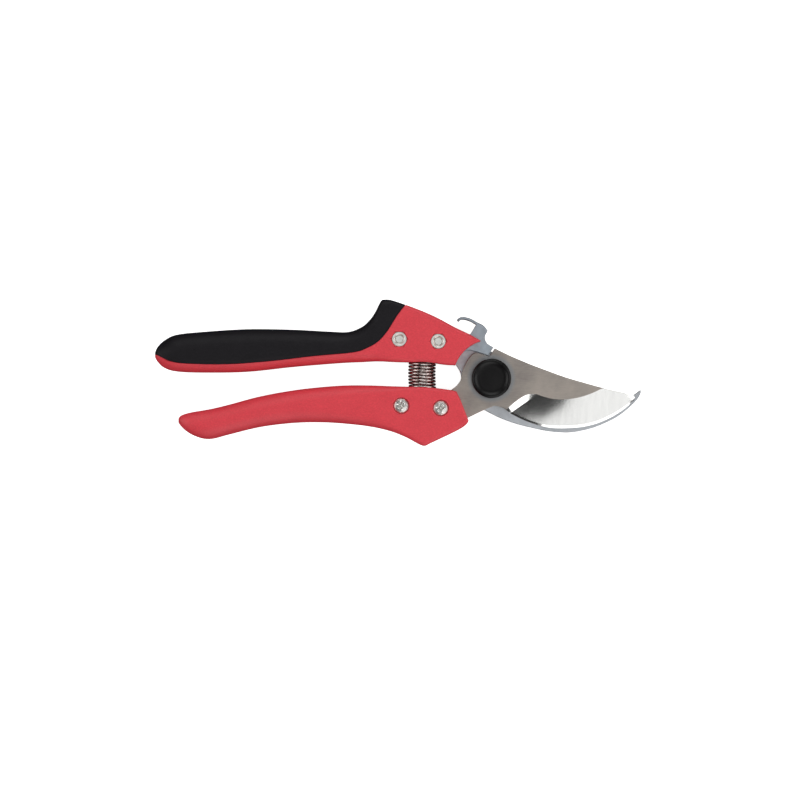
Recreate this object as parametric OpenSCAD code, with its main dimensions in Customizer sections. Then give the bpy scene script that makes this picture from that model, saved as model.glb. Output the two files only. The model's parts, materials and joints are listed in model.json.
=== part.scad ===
// Bypass pruning shears, closed and locked, lying flat on z = 0.
// Everything is drawn round the pivot axis: +X towards the blade tip, +Y towards the upper handle,
// +Z towards the cap side. place() then moves the origin to the middle of the footprint.

/* [Handles] */
// Distance from the pivot to the tail of the upper handle
upper_l = 141.7; // [125:0.1:172]
// Distance from the pivot to the tail of the lower handle
lower_l = 131.9; // [118:0.1:160]
// Thickness of both handles, cheek to cheek
handle_t = 17; // [15:0.5:21]
// Thickness of the soft grip over the rib that it is moulded on
grip_wall = 4; // [3:0.1:5]
// Width of the rib under the soft grip
rib_w = 8; // [5:0.5:9.5]

/* [Jaws] */
// Distance from the pivot to the tip of the cutting blade
blade_l = 60.3; // [50:0.1:73]
// How far the counter blade reaches past the cutting blade
hook_over = 3.1; // [2:0.1:5]
// Thickness of the cutting blade
blade_t = 3; // [2.5:0.1:3.6]
// Thickness of the counter blade
counter_t = 3.5; // [2.9:0.1:4.2]
// Thickness left along the cutting edge
edge_t = 0.4; // [0.2:0.1:0.8]

/* [Pivot] */
// Diameter of the bolt's shoulder, which both jaws turn on
shoulder_d = 8; // [6.6:0.1:9.6]
// Diameter of the bolt's thread
pivot_thread_d = 6; // [5:0.1:6.5]
// Diameter of the bolt's head
pivot_head_d = 12.8; // [11.5:0.1:13.2]
// Height of the bolt's head
pivot_head_h = 2.3; // [1.8:0.1:2.8]
// Size of the pivot nut across its flats
pivot_nut_af = 10; // [9:0.5:12]
// Height of the pivot nut
pivot_nut_h = 3; // [2.4:0.1:3.3]
// Thickness of the flat washer and of the spring washer
washer_t = 0.8; // [0.6:0.1:1]
// Diameter of the plastic cap over the bolt's head
cap_d = 16.6; // [15.5:0.1:20]
// Thickness of the cap's roof
cap_roof = 1.6; // [1.2:0.1:2]

/* [Handle screws] */
// Thread diameter of the handle screws
screw_d = 3.5; // [2.9:0.1:4.2]
// Diameter of a screw head
screw_head_d = 6.5; // [5.5:0.1:7.8]
// Height of a screw head
screw_head_h = 2; // [1.6:0.1:2.4]
// Size of a handle nut across its flats
nut_af = 6; // [5.5:0.1:7.2]
// Height of a handle nut
nut_h = 2.8; // [2.3:0.1:3.2]
// How deep heads and nuts lie under the cheeks
sunk = 0.6; // [0.3:0.1:1]

/* [Latch] */
// Thickness of the latch's sheet
latch_t = 1.2; // [1:0.1:1.4]
// Width of the bent thumb tab
tab_w = 8.5; // [7:0.5:9]
// Diameter of the bush that the latch turns on
bush_d = 6; // [5.2:0.1:7]
// Diameter of the bush's flange
flange_d = 9.4; // [8.6:0.1:10]
// Thickness of the bush's flange
flange_t = 0.9; // [0.8:0.1:1]
// Thickness of the nylon washer over the latch
latch_washer_t = 0.4; // [0.3:0.1:0.5]
// Gap between the latch's tooth and the notch in the blade
tooth_gap = 0.3; // [0.2:0.05:0.5]

/* [Spring] */
// Outside diameter of the return spring
spring_d = 11.7; // [9.7:0.1:14.1]
// Diameter of the spring's wire
wire_d = 1.1; // [0.9:0.05:1.2]
// Number of turns
spring_turns = 12; // [10:1:13]
// Depth of the spring's seat in each handle
seat_depth = 3.7; // [3:0.1:4]

/* [Clearances] */
// Running clearance, on the radius, of what turns on a pin or a bush
run_clear = 0.05; // [0.02:0.01:0.08]
// Clearance, on the radius, of bolts in their holes and nuts in their recesses
fit_clear = 0.1; // [0.05:0.01:0.2]
// Gap between the two plates at the pivot
plate_gap = 0.06; // [0.04:0.01:0.1]
// Clearance, on the radius, round the spring in its seats
seat_clear = 0.35; // [0.3:0.05:0.5]

/* [Hidden] */

$fn = 64;
eps = 0.01;

// Heights of the layers
mid_z = handle_t / 2;
counter_z = mid_z - (counter_t + plate_gap + blade_t) / 2;
counter_top = counter_z + counter_t;
blade_z = counter_top + plate_gap;
blade_top = blade_z + blade_t;
latch_z = counter_top + flange_t + run_clear;
latch_top = latch_z + latch_t;
slot_top = latch_top + run_clear + latch_washer_t;
pivot_head_z = blade_top + plate_gap + washer_t;

// Places in the plan
upper_front = [-22.4, 15.6];
upper_rear = [-38.8, 16.5];
lower_front = [-21.4, -12.5];
lower_rear = [-38, -11.5];
spring_x = -28.8;
upper_seat_y = 6.8;
lower_seat_y = -3.6;
hump_y = 33.2;
heel_y = -28.4;
nose_r = 16.2;
lower_nose_r = 15.7;

// The grip part of each handle stretches with its length; the front part keeps its shape
front_l = 46;
// The jaws stretch with the blade's length from here on
jaw_root = 8;

// The blade's notch: its ledge, its root and the top of its flank
ledge_start = [-6.2, 11];
notch_root = [-0.8, 9.2];
notch_top = [1.5, 12.7];

// ---------- curves ----------

// A smooth curve through the points p, with so many steps from each point to the next
function bend(a, b, c, d, t) =
    0.5 * (2 * b + (c - a) * t + (2 * a - 5 * b + 4 * c - d) * t^2 + (3 * b - a - 3 * c + d) * t^3);
function smooth(p, steps) = [
    for (i = [0 : len(p) - 2], j = [0 : steps - 1])
        bend(p[max(i - 1, 0)], p[i], p[i + 1], p[min(i + 2, len(p) - 1)], j / steps),
    p[len(p) - 1]
];
function turned(v) = [-v.y, v.x] / norm(v);
// A ribbon of width w along the points p
function side(p, w) = [
    for (i = [0 : len(p) - 1])
        p[i] + turned(p[min(i + 1, len(p) - 1)] - p[max(i - 1, 0)]) * w
];
function reversed(p) = [for (i = [len(p) - 1 : -1 : 0]) p[i]];
function ribbon(p, w) = concat(side(p, w / 2), reversed(side(p, -w / 2)));

// ---------- lofted handles ----------

// A rib is [top x, top y, bottom x, bottom y, half thickness, edge radius].
// A rib square to the X axis in the stretching part, at the share f of that part's length
function grip_rib(f, length, top, bottom, half_t, edge_r) =
    let (x = -front_l - f * (length - front_l)) [x, top, x, bottom, half_t, edge_r];

corner_steps = 4;
// The outline of one rib, a rounded rectangle standing on the line from its bottom to its top
function rib_outline(s) =
    let (
        top = [s[0], s[1]],
        bottom = [s[2], s[3]],
        middle = (top + bottom) / 2,
        reach = norm(top - bottom) / 2,
        up = (top - bottom) / (2 * reach),
        r = min(s[5], reach - 0.1, s[4] - 0.1)
    ) [
        for (q = [0 : 3], j = [0 : corner_steps])
            let (
                a = 90 * (q + j / corner_steps),
                v = (q == 0 || q == 3 ? 1 : -1) * (reach - r) + r * cos(a),
                w = (q < 2 ? 1 : -1) * (s[4] - r) + r * sin(a),
                at = middle + up * v
            ) [at.x, at.y, mid_z + w]
    ];

module loft(ribs) {
    n = 4 * (corner_steps + 1);
    last = len(ribs) - 1;
    polyhedron(
        points = [for (s = ribs) each rib_outline(s)],
        faces = concat(
            [[for (j = [0 : n - 1]) j]],
            [for (i = [0 : last - 1], j = [0 : n - 1])
                each let (a = i * n + j, b = i * n + (j + 1) % n)
                    [[a, a + n, b], [b, a + n, b + n]]],
            [[for (j = [n - 1 : -1 : 0]) last * n + j]]
        )
    );
}

// Cheeks are flat, so the loft is made a little thicker and trimmed
skin = 0.25;
flat_t = handle_t / 2 + skin;
module trim_cheeks() {
    intersection() {
        children();
        translate([-300, -100, 0])
            cube([400, 200, handle_t]);
    }
}

upper_ribs = smooth([
    grip_rib(1, upper_l, 11.3, 8.6, flat_t - 3.6, 3),
    grip_rib(0.989, upper_l, 13.4, 6.9, flat_t - 2.2, 4.5),
    grip_rib(0.962, upper_l, 16, 4.5, flat_t - 0.9, 6),
    grip_rib(0.91, upper_l, 18.4, 3, flat_t, 7),
    grip_rib(0.8, upper_l, 19.6, 2.5, flat_t, 7.2),
    grip_rib(0.6, upper_l, 20.8, 2.8, flat_t, 7.2),
    grip_rib(0.4, upper_l, 20.6, 4.8, flat_t, 6.8),
    grip_rib(0.24, upper_l, 19.8, 6.1, flat_t, 6),
    grip_rib(0.15, upper_l, 19.6, 6.7, flat_t, 5.4),
    grip_rib(0.09, upper_l, 21.7, 6.9, flat_t, 5),
    [-51.2, 24.7, -49.5, 7.2, flat_t, 4.4],
    [-48.9, 28, -47.5, 7.2, flat_t, 3.8],
    [-47.2, 31.4, -45.8, 7.2, flat_t, 3.2],
    [-46.2, 32.9, -44, 7.1, flat_t, 2.8],
    [-44.8, hump_y, -42, 7, flat_t, 2.6],
    [-42, 32.9, -39.5, 6.9, flat_t, 2.2],
    [-35.9, 30.9, -34, 6.8, flat_t, 1.8],
    [-29, 28.3, -28, 6.9, flat_t, 1.7],
    [-22.2, 25.2, -21.8, 6.1, flat_t, 1.6],
    [-15.4, 21.5, -18.5, 5.7, flat_t, 1.6],
    [-9, 18.4, -16.3, 5.6, flat_t, 1.6],
    [-4.5, 15.8, -14.9, 5.5, flat_t, 1.6]
], 2);

lower_ribs = smooth([
    grip_rib(1, lower_l, -16.9, -18.6, flat_t - 4, 2),
    grip_rib(0.99, lower_l, -15.8, -19.9, flat_t - 2.6, 3.6),
    grip_rib(0.965, lower_l, -14.9, -22, flat_t - 1.3, 5),
    grip_rib(0.93, lower_l, -14.2, -23.9, flat_t - 0.4, 6),
    grip_rib(0.88, lower_l, -13.5, -25.4, flat_t, 6.2),
    grip_rib(0.83, lower_l, -12.7, -25.4, flat_t, 6.2),
    grip_rib(0.75, lower_l, -11, -23.6, flat_t, 6.2),
    grip_rib(0.6, lower_l, -7.6, -20.5, flat_t, 6.4),
    grip_rib(0.44, lower_l, -5.1, -18.8, flat_t, 6.4),
    grip_rib(0.3, lower_l, -3.7, -18.5, flat_t, 6),
    grip_rib(0.18, lower_l, -3, -19.1, flat_t, 5.2),
    grip_rib(0.06, lower_l, -3, -20.3, flat_t, 4.2),
    [-42.7, -3.3, -42.7, -22.2, flat_t, 3],
    [-36, -3.5, -36, -24.8, flat_t, 2],
    [-30.8, -3.6, -30.4, -27.8, flat_t, 1.7],
    [-28.8, -3.7, -28, heel_y, flat_t, 1.6],
    [-26.4, -3.8, -25.4, -27.2, flat_t, 1.6],
    [-22.4, -4.2, -19, -24.2, flat_t, 1.6],
    [-18.6, -4.7, -13.4, -21.4, flat_t, 1.6],
    [-16.2, -5.1, -10.6, -19.4, flat_t, 1.6],
    [-14.4, -5.7, -9.6, -17.8, flat_t, 1.6]
], 2);

// ---------- plan outlines ----------

function jaw_x(f) = jaw_root + f * (blade_l - jaw_root);
function hook_x(f) = jaw_root + f * (blade_l + hook_over - jaw_root);

blade_outline = concat(
    smooth([notch_top, [6.3, 10.3], [jaw_x(0.13), 6.6], [jaw_x(0.29), 3.4], [jaw_x(0.45), 0.4],
        [jaw_x(0.62), -2.2], [jaw_x(0.77), -4.3], [jaw_x(0.9), -5.8], [jaw_x(0.99), -7]], 3),
    smooth([[jaw_x(1), -7.4], [jaw_x(1), -9], [jaw_x(0.9), -13.9], [jaw_x(0.74), -18.5],
        [jaw_x(0.57), -20.9], [jaw_x(0.41), -21.4], [jaw_x(0.25), -20.1], [jaw_x(0.12), -17.8],
        [8.3, -14.9]], 4),
    smooth([[5.5, -12.6], [2, -11.6], [0, -12], [-5, -14.3], [-9.8, -16.6], [-14, -18]], 3),
    [[-20, -18.4], [-43, -17.5], [-45.5, -15.5], [-45.5, -10.5], [-43.5, -8.6]],
    smooth([[-22.5, -8.6], [-20, -8], [-18.6, -6.2], [-17, -4.9], [-14.5, -3], [-13, -0.8],
        [-12.5, 1.5], [-12, 3.7], [-10.8, 6.4], [-9.3, 8.8], [-7.9, 10.3], ledge_start], 3),
    [notch_root]
);

counter_outline = concat(
    smooth([[hook_x(1) - 0.3, -4.9], [hook_x(1), -5.6], [hook_x(0.98), -8.2], [hook_x(0.92), -11.8],
        [hook_x(0.81), -16.5], [hook_x(0.66), -20.4], [hook_x(0.54), -22.2], [hook_x(0.43), -22.9],
        [hook_x(0.3), -22.4], [hook_x(0.18), -21.1], [hook_x(0.05), -19.3], [4.2, -16.9],
        [-1.7, -14]], 4),
    smooth([[-6.5, -11.3], [-10.2, -7.4], [-12.2, -2.8], [-12.7, 1], [-13.3, 3.2], [-15, 5.9],
        [-16.8, 8.6], [-19.5, 10.8], [-22.5, 11.5]], 3),
    [[-43, 11.5], [-44.5, 13], [-44.5, 16], [-41.6, 20.6], [-20, 20.6], [-15, 18.9], [-6.5, 13.6]],
    smooth([[-1.5, 11.6], [4, 10.4], [8.6, 7.4], [11.2, 2.6], [12.2, -3], [14.6, -8.2]], 3),
    smooth([[hook_x(0.2), -11.6], [hook_x(0.33), -14.1], [hook_x(0.46), -14.8], [hook_x(0.6), -14.1],
        [hook_x(0.76), -11.6], [hook_x(0.88), -8.9], [hook_x(0.96), -6.4]], 3)
);

// The ground face: pairs of points, on the cutting edge and on the line where the grinding runs out
grind = smooth([
    [7.4, -14.8, 9.4, -14.4],
    [jaw_x(0.09), -17, 14.2, -10.6],
    [jaw_x(0.2), -19.4, jaw_x(0.22), -6.8],
    [jaw_x(0.33), -20.9, jaw_x(0.34), -8.7],
    [jaw_x(0.47), -21.3, jaw_x(0.48), -8.6],
    [jaw_x(0.6), -20.7, jaw_x(0.6), -7.4],
    [jaw_x(0.74), -18.5, jaw_x(0.7), -5],
    [jaw_x(0.87), -15, jaw_x(0.83), -4.3],
    [jaw_x(0.97), -10.6, jaw_x(0.97), -5.6],
    [jaw_x(1.02), -8.6, jaw_x(1.02), -6.2]
], 2);

latch_arm = concat(
    [[-22.4, 20.2], [-15, 19.6], [-9.2, 18.6], [-8.6, 19], [-6.6, 22.4], [-6, 23.6], [-2.6, 21.2]],
    smooth([[-1.7, 19.6], [-2.6, 17.8], [-2.5, 16.2], [-1.7, 14.7]], 3),
    [
        notch_top + [-0.6, 0.4],
        notch_root + [-0.4, 0.15] + [0, tooth_gap],
        ledge_start + [0, tooth_gap],
        [-9, 12], [-12, 11.9], [-22.4, 10.9]
    ]
);
tab_line = smooth([[-14.1, 24.4], [-12.9, 25.3], [-11.2, 25.4], [-8.8, 24.7], [-6.2, 23.3],
    [-3.6, 21.9], [-1.8, 19.7]], 4);
tab_t = 0.9;

// The line between the soft grip and the bare handle, from the tail to the thumb hump
grip_line = smooth([
    grip_point(1.03, 10.4), grip_point(0.99, 9.8), grip_point(0.93, 7.2), grip_point(0.85, 6.2),
    grip_point(0.68, 6), grip_point(0.5, 7.2), grip_point(0.3, 9.4), grip_point(0.13, 10.9),
    [-52.5, 12.7], [-47.5, 15.7], [-43.6, 20.2], [-40, 26], [-36.7, 30.4], [-34.8, 32.6]
], 3);
function grip_point(f, y) = [-front_l - f * (upper_l - front_l), y];

// ---------- shared cuts ----------

module layer(z, height, outline) {
    translate([0, 0, z])
        linear_extrude(height)
            polygon(outline);
}

module rod(at, r, z0, z1) {
    translate([at.x, at.y, z0])
        cylinder(r = r, h = z1 - z0);
}

module hex(at, af, z0, z1) {
    translate([at.x, at.y, z0])
        cylinder(d = af / cos(30), h = z1 - z0, $fn = 6);
}

// Holes for one handle screw: its head goes in at the cap side when head_up is true
module screw_holes(at, head_up) {
    rod(at, screw_d / 2 + fit_clear, -1, handle_t + 1);
    head_in = sunk + screw_head_h;
    nut_in = sunk + nut_h;
    if (head_up) {
        rod(at, screw_head_d / 2 + fit_clear, handle_t - head_in, handle_t + 1);
        hex(at, nut_af + 2 * fit_clear, -1, nut_in);
    } else {
        rod(at, screw_head_d / 2 + fit_clear, -1, head_in);
        hex(at, nut_af + 2 * fit_clear, handle_t - nut_in, handle_t + 1);
    }
}

// The blind seat for the spring, from the handle's inner edge at y, going the way of dir
module spring_seat(y, dir) {
    translate([spring_x, y - 2 * dir, mid_z])
        rotate([-90 * dir, 0, 0])
            cylinder(d = spring_d + 2 * seat_clear, h = seat_depth + 2);
}

// ---------- handles ----------

module grip_zone() {
    layer(-1, handle_t + 2, concat(grip_line, [[-34, 60], [-2 * upper_l, 60], [-2 * upper_l, 10.4]]));
}

// The rib that stands up inside the soft grip
module grip_rib_solid() {
    crest = [for (s = upper_ribs) if (s[0] < -42 && s[0] > -0.93 * upper_l) [s[0], s[1] - grip_wall]];
    root = [for (p = grip_line) if (p.x < -43 && p.x > -0.93 * upper_l) p - [0, 1]];
    layer(mid_z - rib_w / 2, rib_w, concat(crest, reversed(root)));
}

module upper_shell() {
    difference() {
        trim_cheeks()
            loft(upper_ribs);
        rod([0, 0], nose_r, -1, handle_t + 1);
    }
}

// The latch swings in this slot, which is open at the front and at the top
module latch_slot() {
    rod(upper_front, flange_d / 2 + 2 * fit_clear + 0.3, counter_top, slot_top);
    layer(counter_top, slot_top - counter_top,
        [[-22.4, 10.5], [-12, 11.4], [-4, 9], [6, 9], [6, 60], [-27.4, 60], [-27.4, 15.6]]);
}

module upper_handle() {
    color([0.82, 0.28, 0.3])
        difference() {
            union() {
                difference() {
                    upper_shell();
                    grip_zone();
                }
                grip_rib_solid();
            }
            layer(counter_z, counter_t, counter_outline);
            latch_slot();
            spring_seat(upper_seat_y, 1);
            screw_holes(upper_front, false);
            screw_holes(upper_rear, false);
        }
}

module upper_grip() {
    color([0.13, 0.12, 0.14])
        difference() {
            intersection() {
                upper_shell();
                grip_zone();
            }
            grip_rib_solid();
        }
}

module lower_handle() {
    color([0.82, 0.28, 0.3])
        difference() {
            trim_cheeks()
                loft(lower_ribs);
            rod([0, 0], lower_nose_r, -1, handle_t + 1);
            layer(blade_z, blade_t, blade_outline);
            spring_seat(lower_seat_y, -1);
            screw_holes(lower_front, true);
            screw_holes(lower_rear, true);
        }
}

// ---------- jaws ----------

module plate_holes(places) {
    for (at = places)
        rod(at, screw_d / 2 + fit_clear, -1, handle_t + 1);
}

module counter_blade() {
    color([0.6, 0.61, 0.63])
        difference() {
            layer(counter_z, counter_t, counter_outline);
            rod([0, 0], shoulder_d / 2 + run_clear, -1, handle_t + 1);
            plate_holes([upper_front, upper_rear]);
        }
}

// What the grinding takes off: a wedge that deepens towards the cutting edge
module ground_off() {
    over = 0.15;
    drop = blade_t - edge_t;
    last = len(grind) - 1;
    polyhedron(
        points = [
            for (g = grind)
                let (edge = [g[0], g[1]], inner = [g[2], g[3]], out = (edge - inner) * over)
                each [
                    [inner.x - out.x, inner.y - out.y, blade_top + drop * over],
                    [edge.x + out.x, edge.y + out.y, blade_top + drop * over],
                    [edge.x + out.x, edge.y + out.y, blade_top - drop * (1 + over)]
                ]
        ],
        faces = concat(
            [[0, 1, 2]],
            [for (i = [0 : last - 1], j = [0 : 2])
                each let (a = 3 * i + j, b = 3 * i + (j + 1) % 3)
                    [[a, a + 3, b], [b, a + 3, b + 3]]],
            [[3 * last + 2, 3 * last + 1, 3 * last]]
        )
    );
}

module cutting_blade() {
    color([0.72, 0.7, 0.68])
        difference() {
            layer(blade_z, blade_t, blade_outline);
            ground_off();
            rod([0, 0], shoulder_d / 2 + run_clear, -1, handle_t + 1);
            plate_holes([lower_front, lower_rear]);
        }
}

// ---------- pivot ----------

module ring(at, outer_r, inner_r, z0, z1) {
    difference() {
        rod(at, outer_r, z0, z1);
        rod(at, inner_r, z0 - 1, z1 + 1);
    }
}

pivot_nut_top = counter_z - washer_t;

module pivot_bolt() {
    color("silver")
        difference() {
            union() {
                rod([0, 0], pivot_head_d / 2, pivot_head_z, pivot_head_z + pivot_head_h);
                rod([0, 0], shoulder_d / 2, counter_z, pivot_head_z + eps);
                rod([0, 0], pivot_thread_d / 2, pivot_nut_top - pivot_nut_h - 0.3, counter_z + eps);
            }
            hex([0, 0], 4, pivot_head_z + 0.8, pivot_head_z + pivot_head_h + 1);
        }
}

module pivot_spring_washer() {
    color("silver")
        ring([0, 0], pivot_head_d / 2, shoulder_d / 2 + fit_clear, pivot_head_z - washer_t, pivot_head_z);
}

module pivot_washer() {
    color("silver")
        ring([0, 0], pivot_nut_af / 2 + 1.2, pivot_thread_d / 2 + fit_clear, pivot_nut_top, counter_z);
}

module pivot_nut() {
    color("silver")
        difference() {
            hex([0, 0], pivot_nut_af, pivot_nut_top - pivot_nut_h, pivot_nut_top);
            rod([0, 0], pivot_thread_d / 2 + run_clear, 0, handle_t);
        }
}

// A round cup with a rounded rim and a slightly raised middle
module pivot_cap() {
    r = cap_d / 2;
    floor_z = blade_top + plate_gap;
    roof_z = pivot_head_z + pivot_head_h + run_clear;
    top_z = roof_z + cap_roof;
    rim = 1.1;
    color([0.13, 0.12, 0.13])
        rotate_extrude()
            polygon(concat(
                [[0, roof_z], [pivot_head_d / 2 + run_clear, roof_z]],
                [[pivot_head_d / 2 + run_clear, floor_z], [r, floor_z]],
                [for (a = [0 : 15 : 90]) [r - rim + rim * cos(a), top_z - rim + rim * sin(a)]],
                [[r - rim - 0.3, top_z - 0.15], [0, top_z + 0.15]]
            ));
}

// ---------- latch ----------

module latch() {
    color([0.48, 0.54, 0.6])
        difference() {
            union() {
                layer(latch_z, latch_t, latch_arm);
                rod(upper_front, flange_d / 2, latch_z, latch_top);
                layer(latch_top - tab_w, tab_w, ribbon(tab_line, tab_t));
            }
            rod(upper_front, bush_d / 2 + run_clear, 0, handle_t);
        }
}

module latch_bush() {
    color("silver")
        difference() {
            union() {
                rod(upper_front, flange_d / 2, counter_top, counter_top + flange_t);
                rod(upper_front, bush_d / 2, counter_top, slot_top);
            }
            rod(upper_front, screw_d / 2 + fit_clear, 0, handle_t);
        }
}

module latch_washer() {
    color([0.85, 0.85, 0.82])
        ring(upper_front, flange_d / 2, bush_d / 2 + run_clear, slot_top - latch_washer_t, slot_top);
}

// ---------- return spring ----------

module return_spring() {
    sides = 8;
    per_turn = 16;
    y0 = lower_seat_y - seat_depth + wire_d / 2 + 0.1;
    y1 = upper_seat_y + seat_depth - wire_d / 2 - 0.1;
    coil_r = (spring_d - wire_d) / 2;
    rings = spring_turns * per_turn;
    color("silver")
        polyhedron(
            points = [
                for (i = [0 : rings], j = [0 : sides - 1])
                    let (
                        a = 360 * i / per_turn,
                        b = 360 * j / sides,
                        r = coil_r + wire_d / 2 * cos(b)
                    ) [
                        spring_x + r * cos(a),
                        y0 + (y1 - y0) * i / rings + wire_d / 2 * sin(b),
                        mid_z + r * sin(a)
                    ]
            ],
            faces = concat(
                [[for (j = [0 : sides - 1]) j]],
                [for (i = [0 : rings - 1], j = [0 : sides - 1])
                    each let (a = i * sides + j, b = i * sides + (j + 1) % sides)
                        [[a, a + sides, b], [b, a + sides, b + sides]]],
                [[for (j = [sides - 1 : -1 : 0]) rings * sides + j]]
            )
        );
}

// ---------- handle screws ----------

// Puts what is drawn for the cap side at the screw's place, or turned over to the back
module at_screw(at, head_up) {
    translate([at.x, at.y, head_up ? 0 : handle_t])
        mirror([0, 0, head_up ? 0 : 1])
            children();
}

module handle_screw(at, head_up) {
    head_z = handle_t - sunk - screw_head_h;
    end_z = sunk + 0.5;
    color("silver")
        at_screw(at, head_up)
            difference() {
                union() {
                    rod([0, 0], screw_head_d / 2, head_z, head_z + screw_head_h);
                    rod([0, 0], screw_d / 2, end_z, head_z + eps);
                }
                hex([0, 0], 2.4, head_z + 0.8, handle_t);
            }
}

module handle_nut(at, head_up) {
    color("silver")
        at_screw(at, head_up)
            difference() {
                hex([0, 0], nut_af, sunk, sunk + nut_h);
                rod([0, 0], screw_d / 2 + run_clear, 0, handle_t);
            }
}

// ---------- the whole tool ----------

// The origin is the middle of the footprint, on the surface that the shears lie on
module place() {
    translate([(upper_l - blade_l - hook_over) / 2, -(hump_y + heel_y) / 2, 0])
        children();
}

place() upper_handle();
place() upper_grip();
place() lower_handle();
place() counter_blade();
place() cutting_blade();
place() pivot_bolt();
place() pivot_spring_washer();
place() pivot_washer();
place() pivot_nut();
place() pivot_cap();
place() latch();
place() latch_bush();
place() latch_washer();
place() return_spring();
place() handle_screw(upper_front, false);  // upper_front_screw
place() handle_nut(upper_front, false);  // upper_front_nut
place() handle_screw(upper_rear, false);  // upper_rear_screw
place() handle_nut(upper_rear, false);  // upper_rear_nut
place() handle_screw(lower_front, true);  // lower_front_screw
place() handle_nut(lower_front, true);  // lower_front_nut
place() handle_screw(lower_rear, true);  // lower_rear_screw
place() handle_nut(lower_rear, true);  // lower_rear_nut
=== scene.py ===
"""Bypass pruning shears: the visible pieces, their finishes and a studio, built round the CAD frame."""

import json
import math

import bmesh
import bpy
import numpy as np
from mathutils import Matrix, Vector


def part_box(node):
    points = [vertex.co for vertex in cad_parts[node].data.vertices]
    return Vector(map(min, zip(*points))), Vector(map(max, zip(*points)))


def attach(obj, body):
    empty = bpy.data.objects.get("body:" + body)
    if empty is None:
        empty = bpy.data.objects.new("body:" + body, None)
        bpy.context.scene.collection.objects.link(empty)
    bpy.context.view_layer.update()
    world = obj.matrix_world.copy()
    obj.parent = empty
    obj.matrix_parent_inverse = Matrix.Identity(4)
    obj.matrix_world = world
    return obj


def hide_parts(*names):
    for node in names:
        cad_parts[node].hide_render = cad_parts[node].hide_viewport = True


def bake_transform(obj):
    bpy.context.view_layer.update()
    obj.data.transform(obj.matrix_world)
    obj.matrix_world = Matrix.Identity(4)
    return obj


bl_info = {
    "name": "Pruning shears",
    "version": (1, 0, 0),
    "blender": (4, 5, 0),
    "location": "3D View > Sidebar > Shears",
    "description": "Builds a pair of bypass pruning shears piece by piece",
    "category": "Add Mesh",
}

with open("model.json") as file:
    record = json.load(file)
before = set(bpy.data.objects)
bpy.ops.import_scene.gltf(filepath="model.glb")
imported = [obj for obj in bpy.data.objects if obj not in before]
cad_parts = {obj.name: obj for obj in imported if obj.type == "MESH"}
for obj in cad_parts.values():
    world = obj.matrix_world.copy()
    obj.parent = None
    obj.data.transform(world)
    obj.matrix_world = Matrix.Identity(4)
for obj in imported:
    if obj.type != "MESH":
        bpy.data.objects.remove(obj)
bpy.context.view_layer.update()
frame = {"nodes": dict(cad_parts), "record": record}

MM = 0.001
JOINTS = {joint["name"]: joint for joint in frame["record"]["behaviour"]["joints"]}
PIVOT = np.array(JOINTS["jaw_pivot"]["pos_m"][:2])
LATCH_PIVOT = (np.array(JOINTS["latch_pivot"]["pos_m"][:2]) - PIVOT) / MM


def span(node, axis):
    """Lowest and highest place of a CAD node along one axis, in millimetres from the pivot."""
    low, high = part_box(node)
    start = (PIVOT[0], PIVOT[1], 0)[axis]
    return (low[axis] - start) / MM, (high[axis] - start) / MM


def radius_of(node):
    """Half of a CAD node's length along X, in millimetres."""
    low, high = span(node, 0)
    return (high - low) / 2


def middle(node):
    """The middle of a CAD node in the plan, in millimetres from the pivot."""
    return np.array([sum(span(node, 0)) / 2, sum(span(node, 1)) / 2])


# Heights and lengths that the frame gives, in millimetres
HANDLE_T = span("upper_handle", 2)[1]
MID_Z = HANDLE_T / 2
COUNTER_Z, COUNTER_TOP = span("counter_blade", 2)
BLADE_Z, BLADE_TOP = span("cutting_blade", 2)
LATCH_TOP = span("latch", 2)[1]
UPPER_L = -span("upper_grip", 0)[0]
LOWER_L = -span("lower_handle", 0)[0]
BLADE_L = span("cutting_blade", 0)[1]

# Where a handle starts to stretch with its length, where the jaw's free part starts, and the arcs round
# the pivot in which the handles end
FRONT_L = 46.0
JAW_ROOT = 8.0
UPPER_NOSE_R = 16.2
LOWER_NOSE_R = 15.7

# Radii of the shafts, and how much wider the holes round them are
SCREW_R = 1.75
SHOULDER_R = 4.0
BOLT_THREAD_R = 3.0
BUSH_R = 3.0
RUN = 0.05
LOOSE = 0.1
HEAD_H = 2.0

UPPER_SCREWS = (("upper_front_screw", "upper_front_nut"), ("upper_rear_screw", "upper_rear_nut"))
LOWER_SCREWS = (("lower_front_screw", "lower_front_nut"), ("lower_rear_screw", "lower_rear_nut"))


# ---------- colours ----------


def linear(hex_colour):
    """An sRGB hex colour as linear red, green, blue and alpha."""
    parts = [int(hex_colour[i : i + 2], 16) / 255 for i in (1, 3, 5)]
    bright = [p / 12.92 if p <= 0.04045 else ((p + 0.055) / 1.055) ** 2.4 for p in parts]
    return (*bright, 1.0)


# ---------- curves and outlines ----------


def smooth(points, steps):
    """A smooth curve through the points, with so many steps from each one to the next."""
    p = np.asarray(points, float)
    last = len(p) - 1
    out = []
    for i in range(last):
        a, b, c, d = p[max(i - 1, 0)], p[i], p[i + 1], p[min(i + 2, last)]
        square = 2 * a - 5 * b + 4 * c - d
        cube = 3 * b - a - 3 * c + d
        for t in np.arange(steps) / steps:
            out.append(0.5 * (2 * b + (c - a) * t + square * t**2 + cube * t**3))
    return np.array(out + [p[last]])


def offset(outline, amount):
    """A closed anticlockwise outline, moved outwards by amount."""
    ahead = np.roll(outline, -1, 0) - outline
    ahead /= np.linalg.norm(ahead, axis=1)[:, None]
    out_after = np.stack([ahead[:, 1], -ahead[:, 0]], 1)
    out_before = np.roll(out_after, 1, 0)
    share = 1 + (out_after * out_before).sum(1)
    return outline + amount * (out_after + out_before) / np.maximum(share, 0.35)[:, None]


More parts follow.
